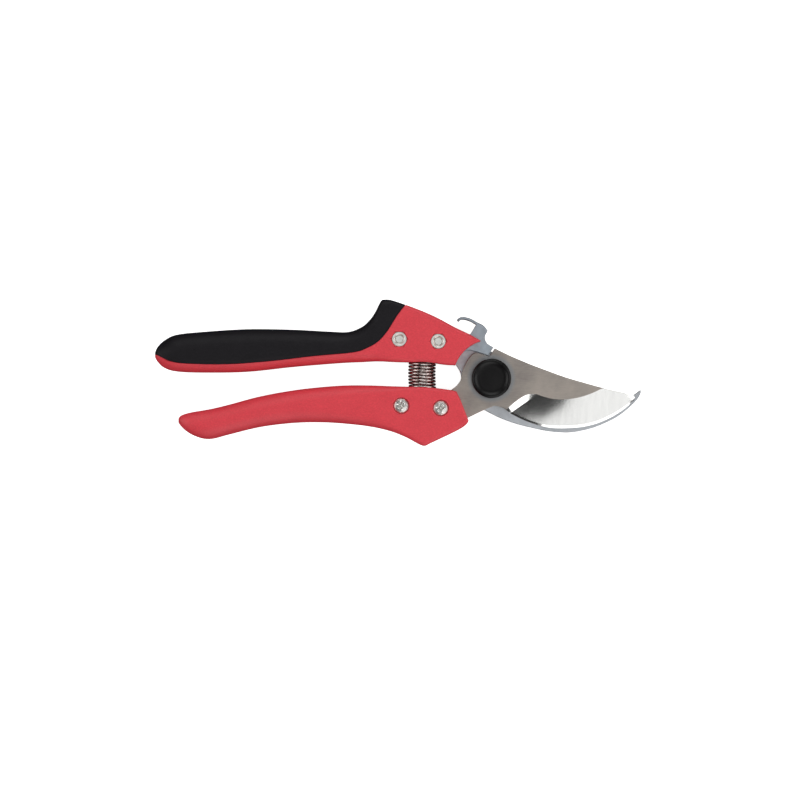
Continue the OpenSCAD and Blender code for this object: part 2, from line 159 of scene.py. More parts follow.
def ribbon(line, width):
    """The outline of a strip of that width along a line."""
    ahead = np.gradient(line, axis=0)
    ahead /= np.linalg.norm(ahead, axis=1)[:, None]
    left = np.stack([-ahead[:, 1], ahead[:, 0]], 1) * width / 2
    return np.concatenate([line - left, (line + left)[::-1]])


def circle(centre, radius, steps):
    """A circle as an anticlockwise outline."""
    turn = np.linspace(0, 2 * math.pi, steps, endpoint=False)
    return np.array(centre) + radius * np.stack([np.cos(turn), np.sin(turn)], 1)


def plan(node, height):
    """The outer line of a CAD node's flat face at that height, anticlockwise, in millimetres from the
    pivot."""
    bm = bmesh.new()
    bm.from_mesh(frame["nodes"][node].data)
    bmesh.ops.remove_doubles(bm, verts=bm.verts, dist=1e-6)
    flat = {f for f in bm.faces if all(abs(v.co.z / MM - height) < 0.01 for v in f.verts)}
    after = {}
    for face in flat:
        for loop in face.loops:
            if sum(f in flat for f in loop.edge.link_faces) == 1:
                after[loop.vert.index] = loop.link_loop_next.vert.index
    places = [np.array(v.co[:2]) for v in bm.verts]
    bm.free()
    loops = []
    while after:
        start, here = next(iter(after.items()))
        del after[start]
        loop = [start]
        while here != start:
            loop.append(here)
            here = after.pop(here)
        loops.append((np.array([places[i] for i in loop]) - PIVOT) / MM)
    longest = max(loops, key=lambda line: np.ptp(line[:, 0]))
    turned = np.roll(longest, -1, 0)
    area = (longest[:, 0] * turned[:, 1] - longest[:, 1] * turned[:, 0]).sum()
    return longest if area > 0 else longest[::-1]


# ---------- meshes ----------


def mesh_object(name, points, faces, origin=PIVOT):
    """A closed mesh from points in millimetres from the pivot, with its faces turned outwards."""
    places = np.asarray(points, float) * MM
    places[:, :2] += origin
    mesh = bpy.data.meshes.new(name)
    mesh.from_pydata(places.tolist(), [], [list(map(int, f)) for f in faces])
    bm = bmesh.new()
    bm.from_mesh(mesh)
    bmesh.ops.remove_doubles(bm, verts=bm.verts, dist=2e-7)
    bmesh.ops.dissolve_degenerate(bm, edges=bm.edges, dist=1e-7)
    bmesh.ops.recalc_face_normals(bm, faces=bm.faces)
    if bm.calc_volume(signed=True) < 0:
        bmesh.ops.reverse_faces(bm, faces=bm.faces)
    bm.to_mesh(mesh)
    bm.free()
    piece = bpy.data.objects.new(name, mesh)
    bpy.context.scene.collection.objects.link(piece)
    return piece


def skin(rings, closed=False):
    """Points and faces of a tube through rings of equally many points, its ends capped, or joined if it
    is closed."""
    count, around = len(rings), len(rings[0])
    points = np.concatenate(rings)
    faces = []
    for i in range(count if closed else count - 1):
        for j in range(around):
            a, b = i * around + j, i * around + (j + 1) % around
            shift = around if i < count - 1 else -i * around
            faces.append((a, b, b + shift, a + shift))
    if not closed:
        faces += [tuple(range(around))[::-1], tuple(range((count - 1) * around, count * around))]
    return points, faces


def stack(name, outline, levels):
    """A solid with that outline, moved outwards at each level: levels are (height, outward move)."""
    rings = [np.column_stack([offset(outline, grow), np.full(len(outline), z)]) for z, grow in levels]
    return mesh_object(name, *skin(rings))


def turned_part(name, centre, profile, closed=False, corner=None, steps=96, origin=PIVOT):
    """A part turned about a vertical axis. profile is a list of (radius, height, share of the corner's
    shape), and corner(angle, radius) gives the shaped radius, such as a hexagon's or a star's."""
    turn = np.linspace(0, 2 * math.pi, steps, endpoint=False)
    rings = []
    for radius, z, share in profile:
        r = np.full(steps, float(radius))
        if corner is not None and share:
            r = r + share * (corner(turn, radius) - radius)
        x, y = centre[0] + r * np.cos(turn), centre[1] + r * np.sin(turn)
        rings.append(np.column_stack([x, y, np.full(steps, z)]))
    return mesh_object(name, *skin(rings, closed), origin)


def baked(piece):
    """Makes the piece's modifiers its plain mesh."""
    graph = bpy.context.evaluated_depsgraph_get()
    made = bpy.data.meshes.new_from_object(piece.evaluated_get(graph))
    piece.modifiers.clear()
    old = piece.data
    piece.data = made
    bpy.data.meshes.remove(old)
    return piece


def carve(piece, cutter, operation="DIFFERENCE"):
    """Cuts, joins or keeps the common part of two closed solids, and removes the second."""
    change = piece.modifiers.new("carve", "BOOLEAN")
    change.operation = operation
    change.solver = "MANIFOLD"
    change.object = cutter
    before = len(piece.data.polygons)
    baked(piece)
    if len(piece.data.polygons) in (0, before):
        raise RuntimeError(f"{piece.name}: {operation.lower()} with {cutter.name} had no use")
    bpy.data.objects.remove(cutter)


def shade(piece, sharp_deg=32):
    """Smooth shading that keeps real edges crisp and flat faces flat."""
    piece.data.shade_smooth()
    piece.data.set_sharp_from_angle(angle=math.radians(sharp_deg))
    weighted = piece.modifiers.new("even", "WEIGHTED_NORMAL")
    weighted.keep_sharp = True
    weighted.weight = 60
    return baked(piece)


def hand_in(piece, body, material_slot, *nodes, finish=None):
    """Gives a finished piece its finish, its body and the CAD nodes that it stands for."""
    if finish is not None:
        piece.data.materials.clear()
        piece.data.materials.append(finish)
    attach(piece, body)
    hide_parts(*nodes)


# ---------- node trees ----------


def put(tree, kind, inputs=None, **settings):
    """Adds a node with its settings, and sets or links its inputs. A node stands for its first output."""
    node = tree.nodes.new(kind)
    for key, value in settings.items():
        setattr(node, key, value)
    for key, value in (inputs or {}).items():
        if isinstance(value, bpy.types.Node):
            value = next(socket for socket in value.outputs if socket.enabled)
        if isinstance(value, bpy.types.NodeSocket):
            tree.links.new(value, node.inputs[key])
        else:
            node.inputs[key].default_value = value
    return node


def new_material(name):
    """An empty material, its tree and its Object coordinates."""
    material = bpy.data.materials.new(name)
    material.use_nodes = True
    tree = material.node_tree
    tree.nodes.clear()
    return material, tree, put(tree, "ShaderNodeTexCoord").outputs["Object"]


def patches(tree, place, size_mm, detail=3.0, stretch=(1, 1, 1), turn=0.0):
    """Soft patches about size_mm across, stretched and turned in the plan."""
    across = {"Vector": place, "Scale": [1 / s for s in stretch], "Rotation": (0, 0, turn)}
    mapped = put(tree, "ShaderNodeMapping", across)
    inputs = {"Vector": mapped, "Scale": 1 / (size_mm * MM), "Detail": detail, "Roughness": 0.55}
    return put(tree, "ShaderNodeTexNoise", inputs)


def layer(tree, under, over, pattern, low, high, most=1.0):
    """Lays a colour over another, from none of it where the pattern is at low to most of it at high."""
    inputs = {"Value": pattern, "From Min": low, "From Max": high, "To Max": most}
    share = put(tree, "ShaderNodeMapRange", inputs)
    return put(tree, "ShaderNodeMix", {0: share, 6: under, 7: over}, data_type="RGBA")


def surfaced(material, tree, colour, grain, rough, relief, constants):
    """Closes a material: its roughness follows the grain between two values, and relief is a list of
    (pattern, depth in millimetres)."""
    inputs = {"Value": grain, "From Min": 0.3, "From Max": 0.7, "To Min": rough[0], "To Max": rough[1]}
    roughness = put(tree, "ShaderNodeMapRange", inputs)
    normal = {}
    for pattern, depth_mm in relief:
        inputs = {"Height": pattern, "Distance": depth_mm * MM, **normal}
        normal["Normal"] = put(tree, "ShaderNodeBump", inputs)
    inputs = {"Base Color": colour, "Roughness": roughness, **constants, **normal}
    surface = put(tree, "ShaderNodeBsdfPrincipled", inputs)
    put(tree, "ShaderNodeOutputMaterial", {"Surface": surface})
    return material


def tinted(colour, factor, lift=0.0):
    """A linear colour made lighter or darker."""
    return [c * factor + lift for c in colour[:3]] + [1]


# ---------- finishes ----------

METAL = {"Metallic": 1.0}


def moulded_nylon(name, colour, deep_colour, rough, sheen=0.35):
    """Glass-filled nylon from a spark-eroded mould: an even fine grain, slightly cloudy, with a dull sheen.
    The real grain is about 0.1 mm, too fine to show, so it is drawn at 0.4 mm."""
    material, tree, place = new_material(name)
    fibres = patches(tree, place, 0.6, stretch=(1.3, 1, 1), turn=0.5)
    grain = patches(tree, place, 0.42, 2)
    base = layer(tree, colour, deep_colour, patches(tree, place, 9, 4), 0.3, 0.7, 0.5)
    base = layer(tree, base, tinted(colour, 1.22), fibres, 0.42, 0.7, 0.5)
    base = layer(tree, base, tinted(colour, 0.7), grain, 0.55, 0.8, 0.45)
    relief = [(grain, 0.035), (fibres, 0.02)]
    constants = {"IOR": 1.53, "Specular IOR Level": sheen}
    return surfaced(material, tree, base, grain, (rough - 0.06, rough + 0.07), relief, constants)


def soft_elastomer(name, colour):
    """Overmoulded thermoplastic elastomer: near black, matt, with a leathery grain and a little dust."""
    material, tree, place = new_material(name)
    inputs = {"Vector": place, "Scale": 1 / (0.6 * MM)}
    cells = put(tree, "ShaderNodeTexVoronoi", inputs, feature="SMOOTH_F1")
    dust = patches(tree, place, 14, 5)
    grain = patches(tree, place, 0.35)
    base = layer(tree, colour, tinted(colour, 1.6, 0.002), dust, 0.45, 0.75, 0.35)
    base = layer(tree, base, tinted(colour, 2.2, 0.004), grain, 0.5, 0.75, 0.6)
    relief = [(cells, 0.05), (grain, 0.02)]
    constants = {"IOR": 1.48, "Specular IOR Level": 0.22}
    return surfaced(material, tree, base, grain, (0.5, 0.66), relief, constants)


def satin_blade_steel(name, colour, tint):
    """Hard chromed carbon steel, blasted and lightly belted: brownish grey, cloudy, with faint scratches,
    and a darker, bluer ring round the pivot that is a painted reflection. The belt's scratches are drawn
    coarser, at 0.25 mm."""
    material, tree, place = new_material(name)
    fine = patches(tree, place, 0.5)
    belt = patches(tree, place, 0.25, stretch=(14, 1, 1), turn=0.35)
    hub = (*PIVOT, BLADE_TOP * MM)
    away = put(tree, "ShaderNodeVectorMath", {0: place, 1: hub}, operation="DISTANCE")
    base = layer(tree, colour, tint, patches(tree, place, 16, 6), 0.32, 0.68)
    base = layer(tree, base, tinted(colour, 1.25), belt, 0.35, 0.75, 0.3)
    # Painted reflection: a darker, bluer ring within about 10 mm of the pivot, laid into the colour
    base = layer(tree, base, linear("#8E979F"), away, 10.6 * MM, 9.2 * MM, 0.55)
    return surfaced(material, tree, base, fine, (0.34, 0.46), [(belt, 0.006), (fine, 0.006)], METAL)


def ground_steel(name, colour):
    """Wheel-ground and polished steel: bright, with grinding lines that run across the edge. Real lines are
    about 0.05 mm apart, too fine to show, so they are drawn at 0.2 mm."""
    material, tree, place = new_material(name)
    lines = patches(tree, place, 0.22, 4, stretch=(1, 24, 1), turn=-0.25)
    broad = patches(tree, place, 1.6, 2, stretch=(1, 12, 1), turn=-0.25)
    base = layer(tree, tinted(colour, 0.95), colour, broad, 0.3, 0.7)
    return surfaced(material, tree, base, lines, (0.11, 0.17), [(lines, 0.001)], METAL)


def tumbled_steel(name, colour, rough=(0.36, 0.5)):
    """Forged or pressed steel, tumbled and plated: soft grey with small dents and rubbed spots."""
    material, tree, place = new_material(name)
    dents = patches(tree, place, 0.8)
    base = layer(tree, tinted(colour, 0.8), colour, patches(tree, place, 3.5, 5), 0.3, 0.7)
    return surfaced(material, tree, base, dents, rough, [(dents, 0.012)], METAL)


def bright_plating(name, colour):
    """Nickel-plated machine steel: bright and slightly milky, with faint turning marks."""
    material, tree, place = new_material(name)
    marks = patches(tree, place, 0.3, stretch=(1, 1, 0.4))
    base = layer(tree, tinted(colour, 0.9), colour, patches(tree, place, 1.1, 4), 0.3, 0.7)
    return surfaced(material, tree, base, marks, (0.26, 0.38), [(marks, 0.002)], METAL)


def drawn_wire(name, colour):
    """Drawn spring wire: bright, with die lines and random brown patches of painted shade for the dark gaps
    between the turns.
    """
    material, tree, place = new_material(name)
    lines = patches(tree, place, 0.2, 2)
    # Painted shade: brown patches, up to 80 percent, that darken the wire as the shaded gaps between the
    # turns do
    base = layer(tree, colour, linear("#5E4C46"), patches(tree, place, 1.4, 4), 0.4, 0.7, 0.8)
    return surfaced(material, tree, base, lines, (0.18, 0.3), [(lines, 0.004)], METAL)


# ---------- lofted handles ----------

def ribs(length, grip, front):
    """The ribs [top x, top y, bottom x, bottom y, half thickness, edge radius] of a handle, from its tail
    to the pivot. A row of grip is (share of the part that stretches with the length, top y, bottom y, how
    much thinner its half is, edge radius); a row of front is (top x, top y, bottom x, bottom y, edge
    radius)."""
    out = []
    for share, top, bottom, thinner, edge_r in grip:
        x = -FRONT_L - share * (length - FRONT_L)
        out.append([x, top, x, bottom, MID_Z - thinner, edge_r])
    return out + [[*corners, MID_Z, edge_r] for *corners, edge_r in front]


UPPER_RIBS = ribs(
    UPPER_L,
    (
        (1, 11.3, 8.6, 3.6, 3), (0.989, 13.4, 6.9, 2.2, 4.5), (0.962, 16, 4.5, 0.9, 6),
        (0.91, 18.4, 3, 0, 7), (0.8, 19.6, 2.5, 0, 7.2), (0.6, 20.8, 2.8, 0, 7.2),
        (0.4, 20.6, 4.8, 0, 6.8), (0.24, 19.8, 6.1, 0, 6), (0.15, 19.6, 6.7, 0, 5.4),
        (0.09, 21.7, 6.9, 0, 5),
    ),
    (
        (-51.2, 24.7, -49.5, 7.2, 4.4), (-48.9, 28, -47.5, 7.2, 3.8), (-47.2, 31.4, -45.8, 7.2, 3.2),
        (-46.2, 32.9, -44, 7.1, 2.8), (-44.8, 33.2, -42, 7, 2.6), (-42, 32.9, -39.5, 6.9, 2.2),
        (-35.9, 30.9, -34, 6.8, 1.8), (-29, 28.3, -28, 6.9, 1.7), (-22.2, 25.2, -21.8, 6.1, 1.6),
        (-15.4, 21.5, -18.5, 5.7, 1.6), (-9, 18.4, -16.3, 5.6, 1.6), (-4.5, 15.8, -14.9, 5.5, 1.6),
    ),
)
LOWER_RIBS = ribs(
    LOWER_L,
    (
        (1, -16.9, -18.6, 4, 2), (0.99, -15.8, -19.9, 2.6, 3.6), (0.965, -14.9, -22, 1.3, 5),
        (0.93, -14.2, -23.9, 0.4, 6), (0.88, -13.5, -25.4, 0, 6.2), (0.83, -12.7, -25.4, 0, 6.2),
        (0.75, -11, -23.6, 0, 6.2), (0.6, -7.6, -20.5, 0, 6.4), (0.44, -5.1, -18.8, 0, 6.4),
        (0.3, -3.7, -18.5, 0, 6), (0.18, -3, -19.1, 0, 5.2), (0.06, -3, -20.3, 0, 4.2),
    ),
    (
        (-42.7, -3.3, -42.7, -22.2, 3), (-36, -3.5, -36, -24.8, 2), (-30.8, -3.6, -30.4, -27.8, 1.7),
        (-28.8, -3.7, -28, -28.4, 1.6), (-26.4, -3.8, -25.4, -27.2, 1.6), (-22.4, -4.2, -19, -24.2, 1.6),
        (-18.6, -4.7, -13.4, -21.4, 1.6), (-16.2, -5.1, -10.6, -19.4, 1.6),
        (-14.4, -5.7, -9.6, -17.8, 1.6),
    ),
)

# How finely a handle is drawn, and the sizes of its details in millimetres
RIB_STEPS = 6
FINE_STEPS = 60
CORNER_STEPS = 8
CHEEK_STEPS = 16
NOSE_STEPS = 12
NOSE_EDGE_R = 1.1
PARTING_W = 0.25
PARTING_H = 0.05
RECESS_GAP = 0.12
POCKET_GAP = 0.02
SEAT_R = 6.2
SEAT_DEPTH = 3.8
UPPER_SEAT_Y = 6.8
LOWER_SEAT_Y = -3.6


def rib_outline(rib, inset):
    """The closed outline of one rib: a rounded rectangle with a fine parting line along both edges."""
    top, bottom = np.array(rib[0:2]), np.array(rib[2:4])
    reach = np.linalg.norm(top - bottom) / 2 - inset
    up = (top - bottom) / np.linalg.norm(top - bottom)
    half_t = rib[4] - inset
    r = min(rib[5], reach - 0.1, half_t - 0.1)
    turn = np.linspace(0, math.pi / 2, CORNER_STEPS + 1)
    flat = np.linspace(reach - r, r - reach, CHEEK_STEPS + 1)[1:-1]
    side = [(reach + PARTING_H, 0), (reach, PARTING_W), (reach, (half_t - r) * 0.6)]
    upper = [(reach - r + r * math.cos(a), half_t - r + r * math.sin(a)) for a in turn]
    half = side + upper + [(v, half_t) for v in flat]
    half += [(-v, w) for v, w in (side + upper)[::-1]]
    whole = np.array(half + [(v, -w) for v, w in half[-2:0:-1]])
    places = (top + bottom) / 2 + whole[:, :1] * up
    return np.column_stack([places, MID_Z + whole[:, 1]])


def between(rings, steps):
    """One ring, each of whose points lies so many steps along its own line through the rings."""
    index = np.arange(len(rings))
    return np.array([[np.interp(s, index, rings[:, k, c]) for c in range(3)] for k, s in enumerate(steps)])


def nose_rings(rings, radius, inset, edge_r):
    """Ends each line of the last stretch at the arc round the pivot, and rounds the edge there."""
    out = []
    ends = []
    for line in range(rings.shape[1]):
        away = np.linalg.norm(rings[:, line, :2], axis=1) - (radius + inset)
        inside = np.nonzero(away < 0)[0]
        if len(inside):
            i = inside[0]
            ends.append(i - 1 + away[i - 1] / (away[i - 1] - away[i]))
        else:
            ends.append(rings.shape[0] - 1 - inset / 2)
    finals = between(rings, ends)
    for share in 1 - (1 - np.arange(1, NOSE_STEPS + 1) / NOSE_STEPS) ** 2:
        ring = between(rings, np.array(ends) * share)
        left = np.linalg.norm(ring[:, :2] - finals[:, :2], axis=1)
        sunk = edge_r - np.sqrt(np.maximum(edge_r**2 - np.maximum(edge_r - left, 0) ** 2, 0))
        height = ring[:, 2] - MID_Z
        ring[:, 2] = MID_Z + height * (1 - sunk / np.abs(height).max())
        out.append(ring)
    return out


def loft(name, ribs, nose_r, inset=0.0):
    """A handle's closed body through its ribs, ending in an arc round the pivot."""
    body = smooth(ribs, RIB_STEPS)
    body[:, 4] = np.minimum(body[:, 4], MID_Z)
    rings = [rib_outline(rib, inset) for rib in body[:-RIB_STEPS]]
    stretch = smooth(ribs, FINE_STEPS)[-FINE_STEPS - 1 :]
    rings += nose_rings(np.array([rib_outline(rib, inset) for rib in stretch]), nose_r, inset, NOSE_EDGE_R)
    around = len(rings[0])
    points, faces = skin(rings)
    faces = faces[:-1]
    first = (len(rings) - 1) * around
    half = around // 2
    for k in range(half):
        ring = [k, k + 1, around - k - 1, (around - k) % around]
        faces.append(tuple(first + i for i in dict.fromkeys(ring)))
    return mesh_object(name, points, faces)


def grip_point(share, y):
    """A point at that share of the part of the upper handle that stretches with its length."""
    return [-FRONT_L - share * (UPPER_L - FRONT_L), y]


# The line between the soft grip and the bare handle, from the tail to the thumb hump
GRIP_LINE = smooth(
    [
        grip_point(1.03, 10.4), grip_point(0.99, 9.8), grip_point(0.93, 7.2), grip_point(0.85, 6.2),
        grip_point(0.68, 6), grip_point(0.5, 7.2), grip_point(0.3, 9.4), grip_point(0.13, 10.9),
        [-52.5, 12.7], [-47.5, 15.7], [-43.6, 20.2], [-40, 26], [-36.7, 30.4], [-34.8, 32.6],
    ],
    5,
)


def grip_zone(name, shift):
    """A tall solid over all on the grip's side of its line, which is moved by shift into the grip."""
    ahead = np.gradient(GRIP_LINE, axis=0)
    ahead /= np.linalg.norm(ahead, axis=1)[:, None]
    line = GRIP_LINE + shift * np.stack([-ahead[:, 1], ahead[:, 0]], 1)
    far = [[-34, 60], [-1.5 * UPPER_L, 60], [-1.5 * UPPER_L, 10.4]]
    return stack(name, np.concatenate([line, far]), [(-5, 0), (HANDLE_T + 5, 0)])


def recess(outline, depth, from_top):
    """The cutter of a recess in a handle's cheek, with a small chamfer at its mouth."""
    cheek, way = (HANDLE_T, 1) if from_top else (0, -1)
    flare = 0.3
    levels = [(cheek - way * depth, 0), (cheek - way * flare, 0), (cheek, flare), (cheek + way, flare)]
    return stack("recess", outline, levels if from_top else levels[::-1])


def cut_screws(piece, pairs, head_up):
    """Cuts each screw's hole, the counterbore of its head and the hexagonal recess of its nut."""
    for screw, nut in pairs:
        at = middle(screw)
        carve(piece, stack("hole", circle(at, SCREW_R + LOOSE, 48), [(-1, 0), (HANDLE_T + 1, 0)]))
        head_in = HEAD_H + (HANDLE_T - span(screw, 2)[1] if head_up else span(screw, 2)[0])
        carve(piece, recess(circle(at, radius_of(screw) + RECESS_GAP, 72), head_in, head_up))
        nut_in = span(nut, 2)[1] if head_up else HANDLE_T - span(nut, 2)[0]
        carve(piece, recess(circle(at, radius_of(nut) + RECESS_GAP, 6), nut_in, not head_up))


def cut_seat(piece, y, way):
    """Cuts the spring's blind seat, with a chamfer at its mouth."""
    centre_x = middle("return_spring")[0]
    turn = np.linspace(0, 2 * math.pi, 72, endpoint=False)
    mouth_r = SEAT_R + 0.5
    rings = []
    for r, along in ((SEAT_R, SEAT_DEPTH), (SEAT_R, 0.4), (mouth_r, -0.1), (mouth_r, -2)):
        ring = [[centre_x + r * math.cos(a), y + way * along, MID_Z + r * math.sin(a)] for a in turn]
        rings.append(np.array(ring))
    carve(piece, mesh_object("seat", *skin(rings)))


def cut_pocket(piece, node, low, high):
    """Cuts the pocket that a jaw sits in."""
    outline = offset(plan(node, low), LOOSE)
    carve(piece, stack("pocket", outline, [(low - POCKET_GAP, 0), (high + POCKET_GAP, 0)]))


def along_groove(name, sizes, side, operation):
    """The part of the upper handle's body on one side of the grip line, stepped in along the groove."""
    piece = loft(name, UPPER_RIBS, UPPER_NOSE_R)
    carve(piece, grip_zone("zone", side * sizes.groove_width / MM / 2), operation)
    core = loft("core", UPPER_RIBS, UPPER_NOSE_R, inset=sizes.groove_depth / MM)
    carve(core, grip_zone("zone", 0), operation)
    carve(piece, core, "UNION")
    return piece


def build_upper_handle(sizes):
    """The bare moulding, with the pocket of the counter blade and the open slot that the latch turns in."""
    piece = along_groove("upper_handle_moulding", sizes, -1, "DIFFERENCE")
    cut_pocket(piece, "counter_blade", COUNTER_Z, COUNTER_TOP)
    slot = [[-22.4, 10.4], [-12, 11.4], [-4, 9], [6, 9], [6, 60], [-27.4, 60], [-27.4, 15.6], [-26.5, 12]]
    carve(piece, stack("slot", np.array(slot), [(COUNTER_TOP, 0), (span("latch_washer", 2)[1], 0)]))
    cut_seat(piece, UPPER_SEAT_Y, 1)
    cut_screws(piece, UPPER_SCREWS, False)
    return shade(piece)


def build_upper_grip(sizes):
    """The soft overmould along the back and the thumb hump of the upper handle."""
    return shade(along_groove("upper_grip_overmould", sizes, 1, "INTERSECT"))


def build_lower_handle():
    """The lower moulding, with the pocket of the cutting blade."""
    piece = loft("lower_handle_moulding", LOWER_RIBS, LOWER_NOSE_R)
    cut_pocket(piece, "cutting_blade", BLADE_Z, BLADE_TOP)
    cut_seat(piece, LOWER_SEAT_Y, -1)
    cut_screws(piece, LOWER_SCREWS, True)
    return shade(piece)


# ---------- jaws ----------


def jaw(share, y):
    """A point of the cutting blade, at that share of its length from the root to the tip."""
    return [JAW_ROOT + share * (BLADE_L - JAW_ROOT), y]


# The ground face: where the grinding runs out on the flat, and the cutting edge under it
GRIND_INNER = [
    jaw(0.216, -6.7), jaw(0.27, -7.7), jaw(0.34, -8.6), jaw(0.42, -8.9), jaw(0.5, -8.5), jaw(0.58, -7.6),
    jaw(0.66, -6.1), jaw(0.735, -4.3), jaw(0.8, -3.4), jaw(0.88, -3), jaw(0.96, -3.2), jaw(1.04, -3.8),
]
GRIND_EDGE = [
    jaw(0, -14.75), jaw(0.12, -17.8), jaw(0.25, -20.1), jaw(0.35, -20.8), jaw(0.47, -20.8),
    jaw(0.58, -20.3), jaw(0.68, -19.1), jaw(0.76, -17.5), jaw(0.84, -15.4), jaw(0.91, -13),
    jaw(0.97, -10.6), jaw(1.03, -7.6),
]
RUNOUT = [jaw(0.216, -6.6), jaw(0.13, -6.95), jaw(0.04, -9.9), jaw(-0.035, -13.4)]
# The bevel's width, the steel left at its start and at the edge, and how hollow the ground face is
BEVEL_W = 0.9
BEVEL_LEFT = 0.75
EDGE_LEFT = 0.12
HOLLOW = 0.25


def grind_solid():
    """What the grinding takes off: a hollow face, the bevel along the edge and the wheel's run-out."""
    inner, edge = smooth(GRIND_INNER, 8), smooth(GRIND_EDGE, 8)
    across = np.linspace(0, 1, 15)
    rows = []
    for start, end in zip(inner, edge):
        length = np.linalg.norm(end - start)
        bevel = 1 - BEVEL_W / length
        row = []
        for u in across:
            drop = (BLADE_TOP - BLADE_Z - BEVEL_LEFT) * u * (1 + HOLLOW * (1 - u))
            row.append([*(start + (end - start) * u * bevel), BLADE_TOP - drop])
        row.append([*end, BLADE_Z + EDGE_LEFT])
        beyond = end + (end - start) / length
        row.append([*beyond, BLADE_Z + EDGE_LEFT - (BEVEL_LEFT - EDGE_LEFT) / BEVEL_W])
        over = start - (end - start) / length * 0.4
        row.insert(0, [*over, BLADE_TOP + 0.4 * (row[0][2] - row[1][2]) / (length * bevel * across[1])])
        rows.append(row)
    wall = smooth(RUNOUT, 12)
    share = np.linspace(0, 1, len(rows[0]) - 1)
    index = np.linspace(0, 1, len(wall))
    lip = np.column_stack([np.interp(share, index, wall[:, c]) for c in (0, 1)])
    first = np.array(rows[0])[1:]
    away = lip - first[:, :2]
    rise = np.maximum(BLADE_TOP - first[:, 2], 0.02)
    top_row = np.column_stack([lip + away * 0.1, BLADE_TOP + rise * 0.1])
    rows.insert(0, np.vstack([rows[0][0], top_row]).tolist())
    grid = np.array(rows)
    lid = grid.copy()
    lid[:, :, 2] = BLADE_TOP + 2
    count, wide = grid.shape[:2]
    points = np.concatenate([grid.reshape(-1, 3), lid.reshape(-1, 3)])
    top = count * wide
    faces = []
    for i in range(count - 1):
        for j in range(wide - 1):
            a = i * wide + j
            faces.append((a, a + 1, a + wide + 1, a + wide))
            faces.append((top + a, top + a + wide, top + a + wide + 1, top + a + 1))
    rim = [i * wide for i in range(count)]
    rim += [(count - 1) * wide + j for j in range(1, wide)]
    rim += [i * wide + wide - 1 for i in range(count - 2, -1, -1)]
    rim += list(range(wide - 2, 0, -1))
    for a, b in zip(rim, rim[1:] + rim[:1]):
        faces.append((a, b, b + top, a + top))
    return mesh_object("grind", points, faces)


def plate(name, outline, low, high, edge_r):
    """A steel plate with softly rounded edges."""
    turn = np.linspace(0, math.pi / 2, 4)
    lower = [(low + edge_r * (1 - math.sin(a)), -edge_r * (1 - math.cos(a))) for a in turn[::-1]]
    upper = [(high - edge_r * (1 - math.sin(a)), -edge_r * (1 - math.cos(a))) for a in turn]
    return stack(name, outline, lower + upper)


def bore(piece, centre, radius, low, high, flare=0.25):
    """Cuts a through hole with a small chamfer at both mouths."""
    levels = [(low - 1, flare), (low, flare), (low + flare, 0)]
    levels += [(high - flare, 0), (high, flare), (high + 1, flare)]
    carve(piece, stack("bore", circle(centre, radius, 72), levels))


def build_jaw(node, low, high, edge_r, hole_r, screws, ground=None):
    """A jaw's plate with its rounded edges, its grinding, the pivot's hole and the holes of its screws."""
    piece = plate(node + "_plate", plan(node, low), low, high, edge_r)
    if ground is not None:
        carve(piece, ground)
    bore(piece, (0, 0), hole_r, low, high)
    for screw, _nut in screws:
        bore(piece, middle(screw), SCREW_R + LOOSE, low, high)
    return piece


def build_cutting_blade(flat, ground):
    """The cutting blade, with the second finish on the faces that the grinding made."""
    hole_r = SHOULDER_R + LOOSE
    piece = build_jaw("cutting_blade", BLADE_Z, BLADE_TOP, 0.22, hole_r, LOWER_SCREWS, grind_solid())
    piece.data.materials.clear()
    piece.data.materials.append(flat)
    piece.data.materials.append(ground)
    for face in piece.data.polygons:
        x, y, z = (np.array(face.center) - (*PIVOT, 0)) / MM
        slopes = 0.3 < face.normal.z < 0.9995
        rim = y > -4 and z > BLADE_TOP - 0.22 and face.normal.z < 0.93
        if slopes and x > 6 and z < BLADE_TOP - 0.02 and not rim:
            face.material_index = 1
    return shade(piece, 12)


def build_counter_blade():
    """The hooked counter blade."""
    hole_r = SHOULDER_R + RUN
    return shade(build_jaw("counter_blade", COUNTER_Z, COUNTER_TOP, 0.3, hole_r, UPPER_SCREWS), 24)


# ---------- latch ----------


# The line of the bent thumb tab, and the small blind relief where its free end leaves the plate
TAB_LINE = smooth(
    [[-14.1, 24.4], [-12.9, 25.3], [-11.2, 25.4], [-8.8, 24.7], [-6.2, 23.3], [-3.6, 21.9], [-1.8, 19.7]], 6
)
RELIEF = (-7.7, 24.0)
RELIEF_R = 0.5
RELIEF_DEPTH = 1.6
FLANGE_T = 0.9


def build_latch():
    """The latch plate with its thumb tab, bent down from the plate."""
    sheet = span("latch_washer", 2)[0] - RUN - (span("latch_bush", 2)[0] + FLANGE_T + RUN)
    low = LATCH_TOP - sheet
    piece = plate("latch_plate", plan("latch", LATCH_TOP), low, LATCH_TOP, 0.25)
    carve(piece, plate("tab", ribbon(TAB_LINE, 1.1), span("latch", 2)[0], LATCH_TOP - 0.02, 0.2), "UNION")
    bore(piece, LATCH_PIVOT, BUSH_R + RUN, low, LATCH_TOP, 0.15)
    levels = [(LATCH_TOP - RELIEF_DEPTH, 0), (LATCH_TOP + 1, 0)]
    carve(piece, stack("relief", circle(RELIEF, RELIEF_R, 32), levels))
    return shade(piece, 28)


# ---------- turned parts and fasteners ----------


def hexagon(turn, radius):
    """The radius of a hexagon whose corners are at radius."""
    sector = (turn % (math.pi / 3)) - math.pi / 6
    return radius * math.cos(math.pi / 6) / np.cos(sector)


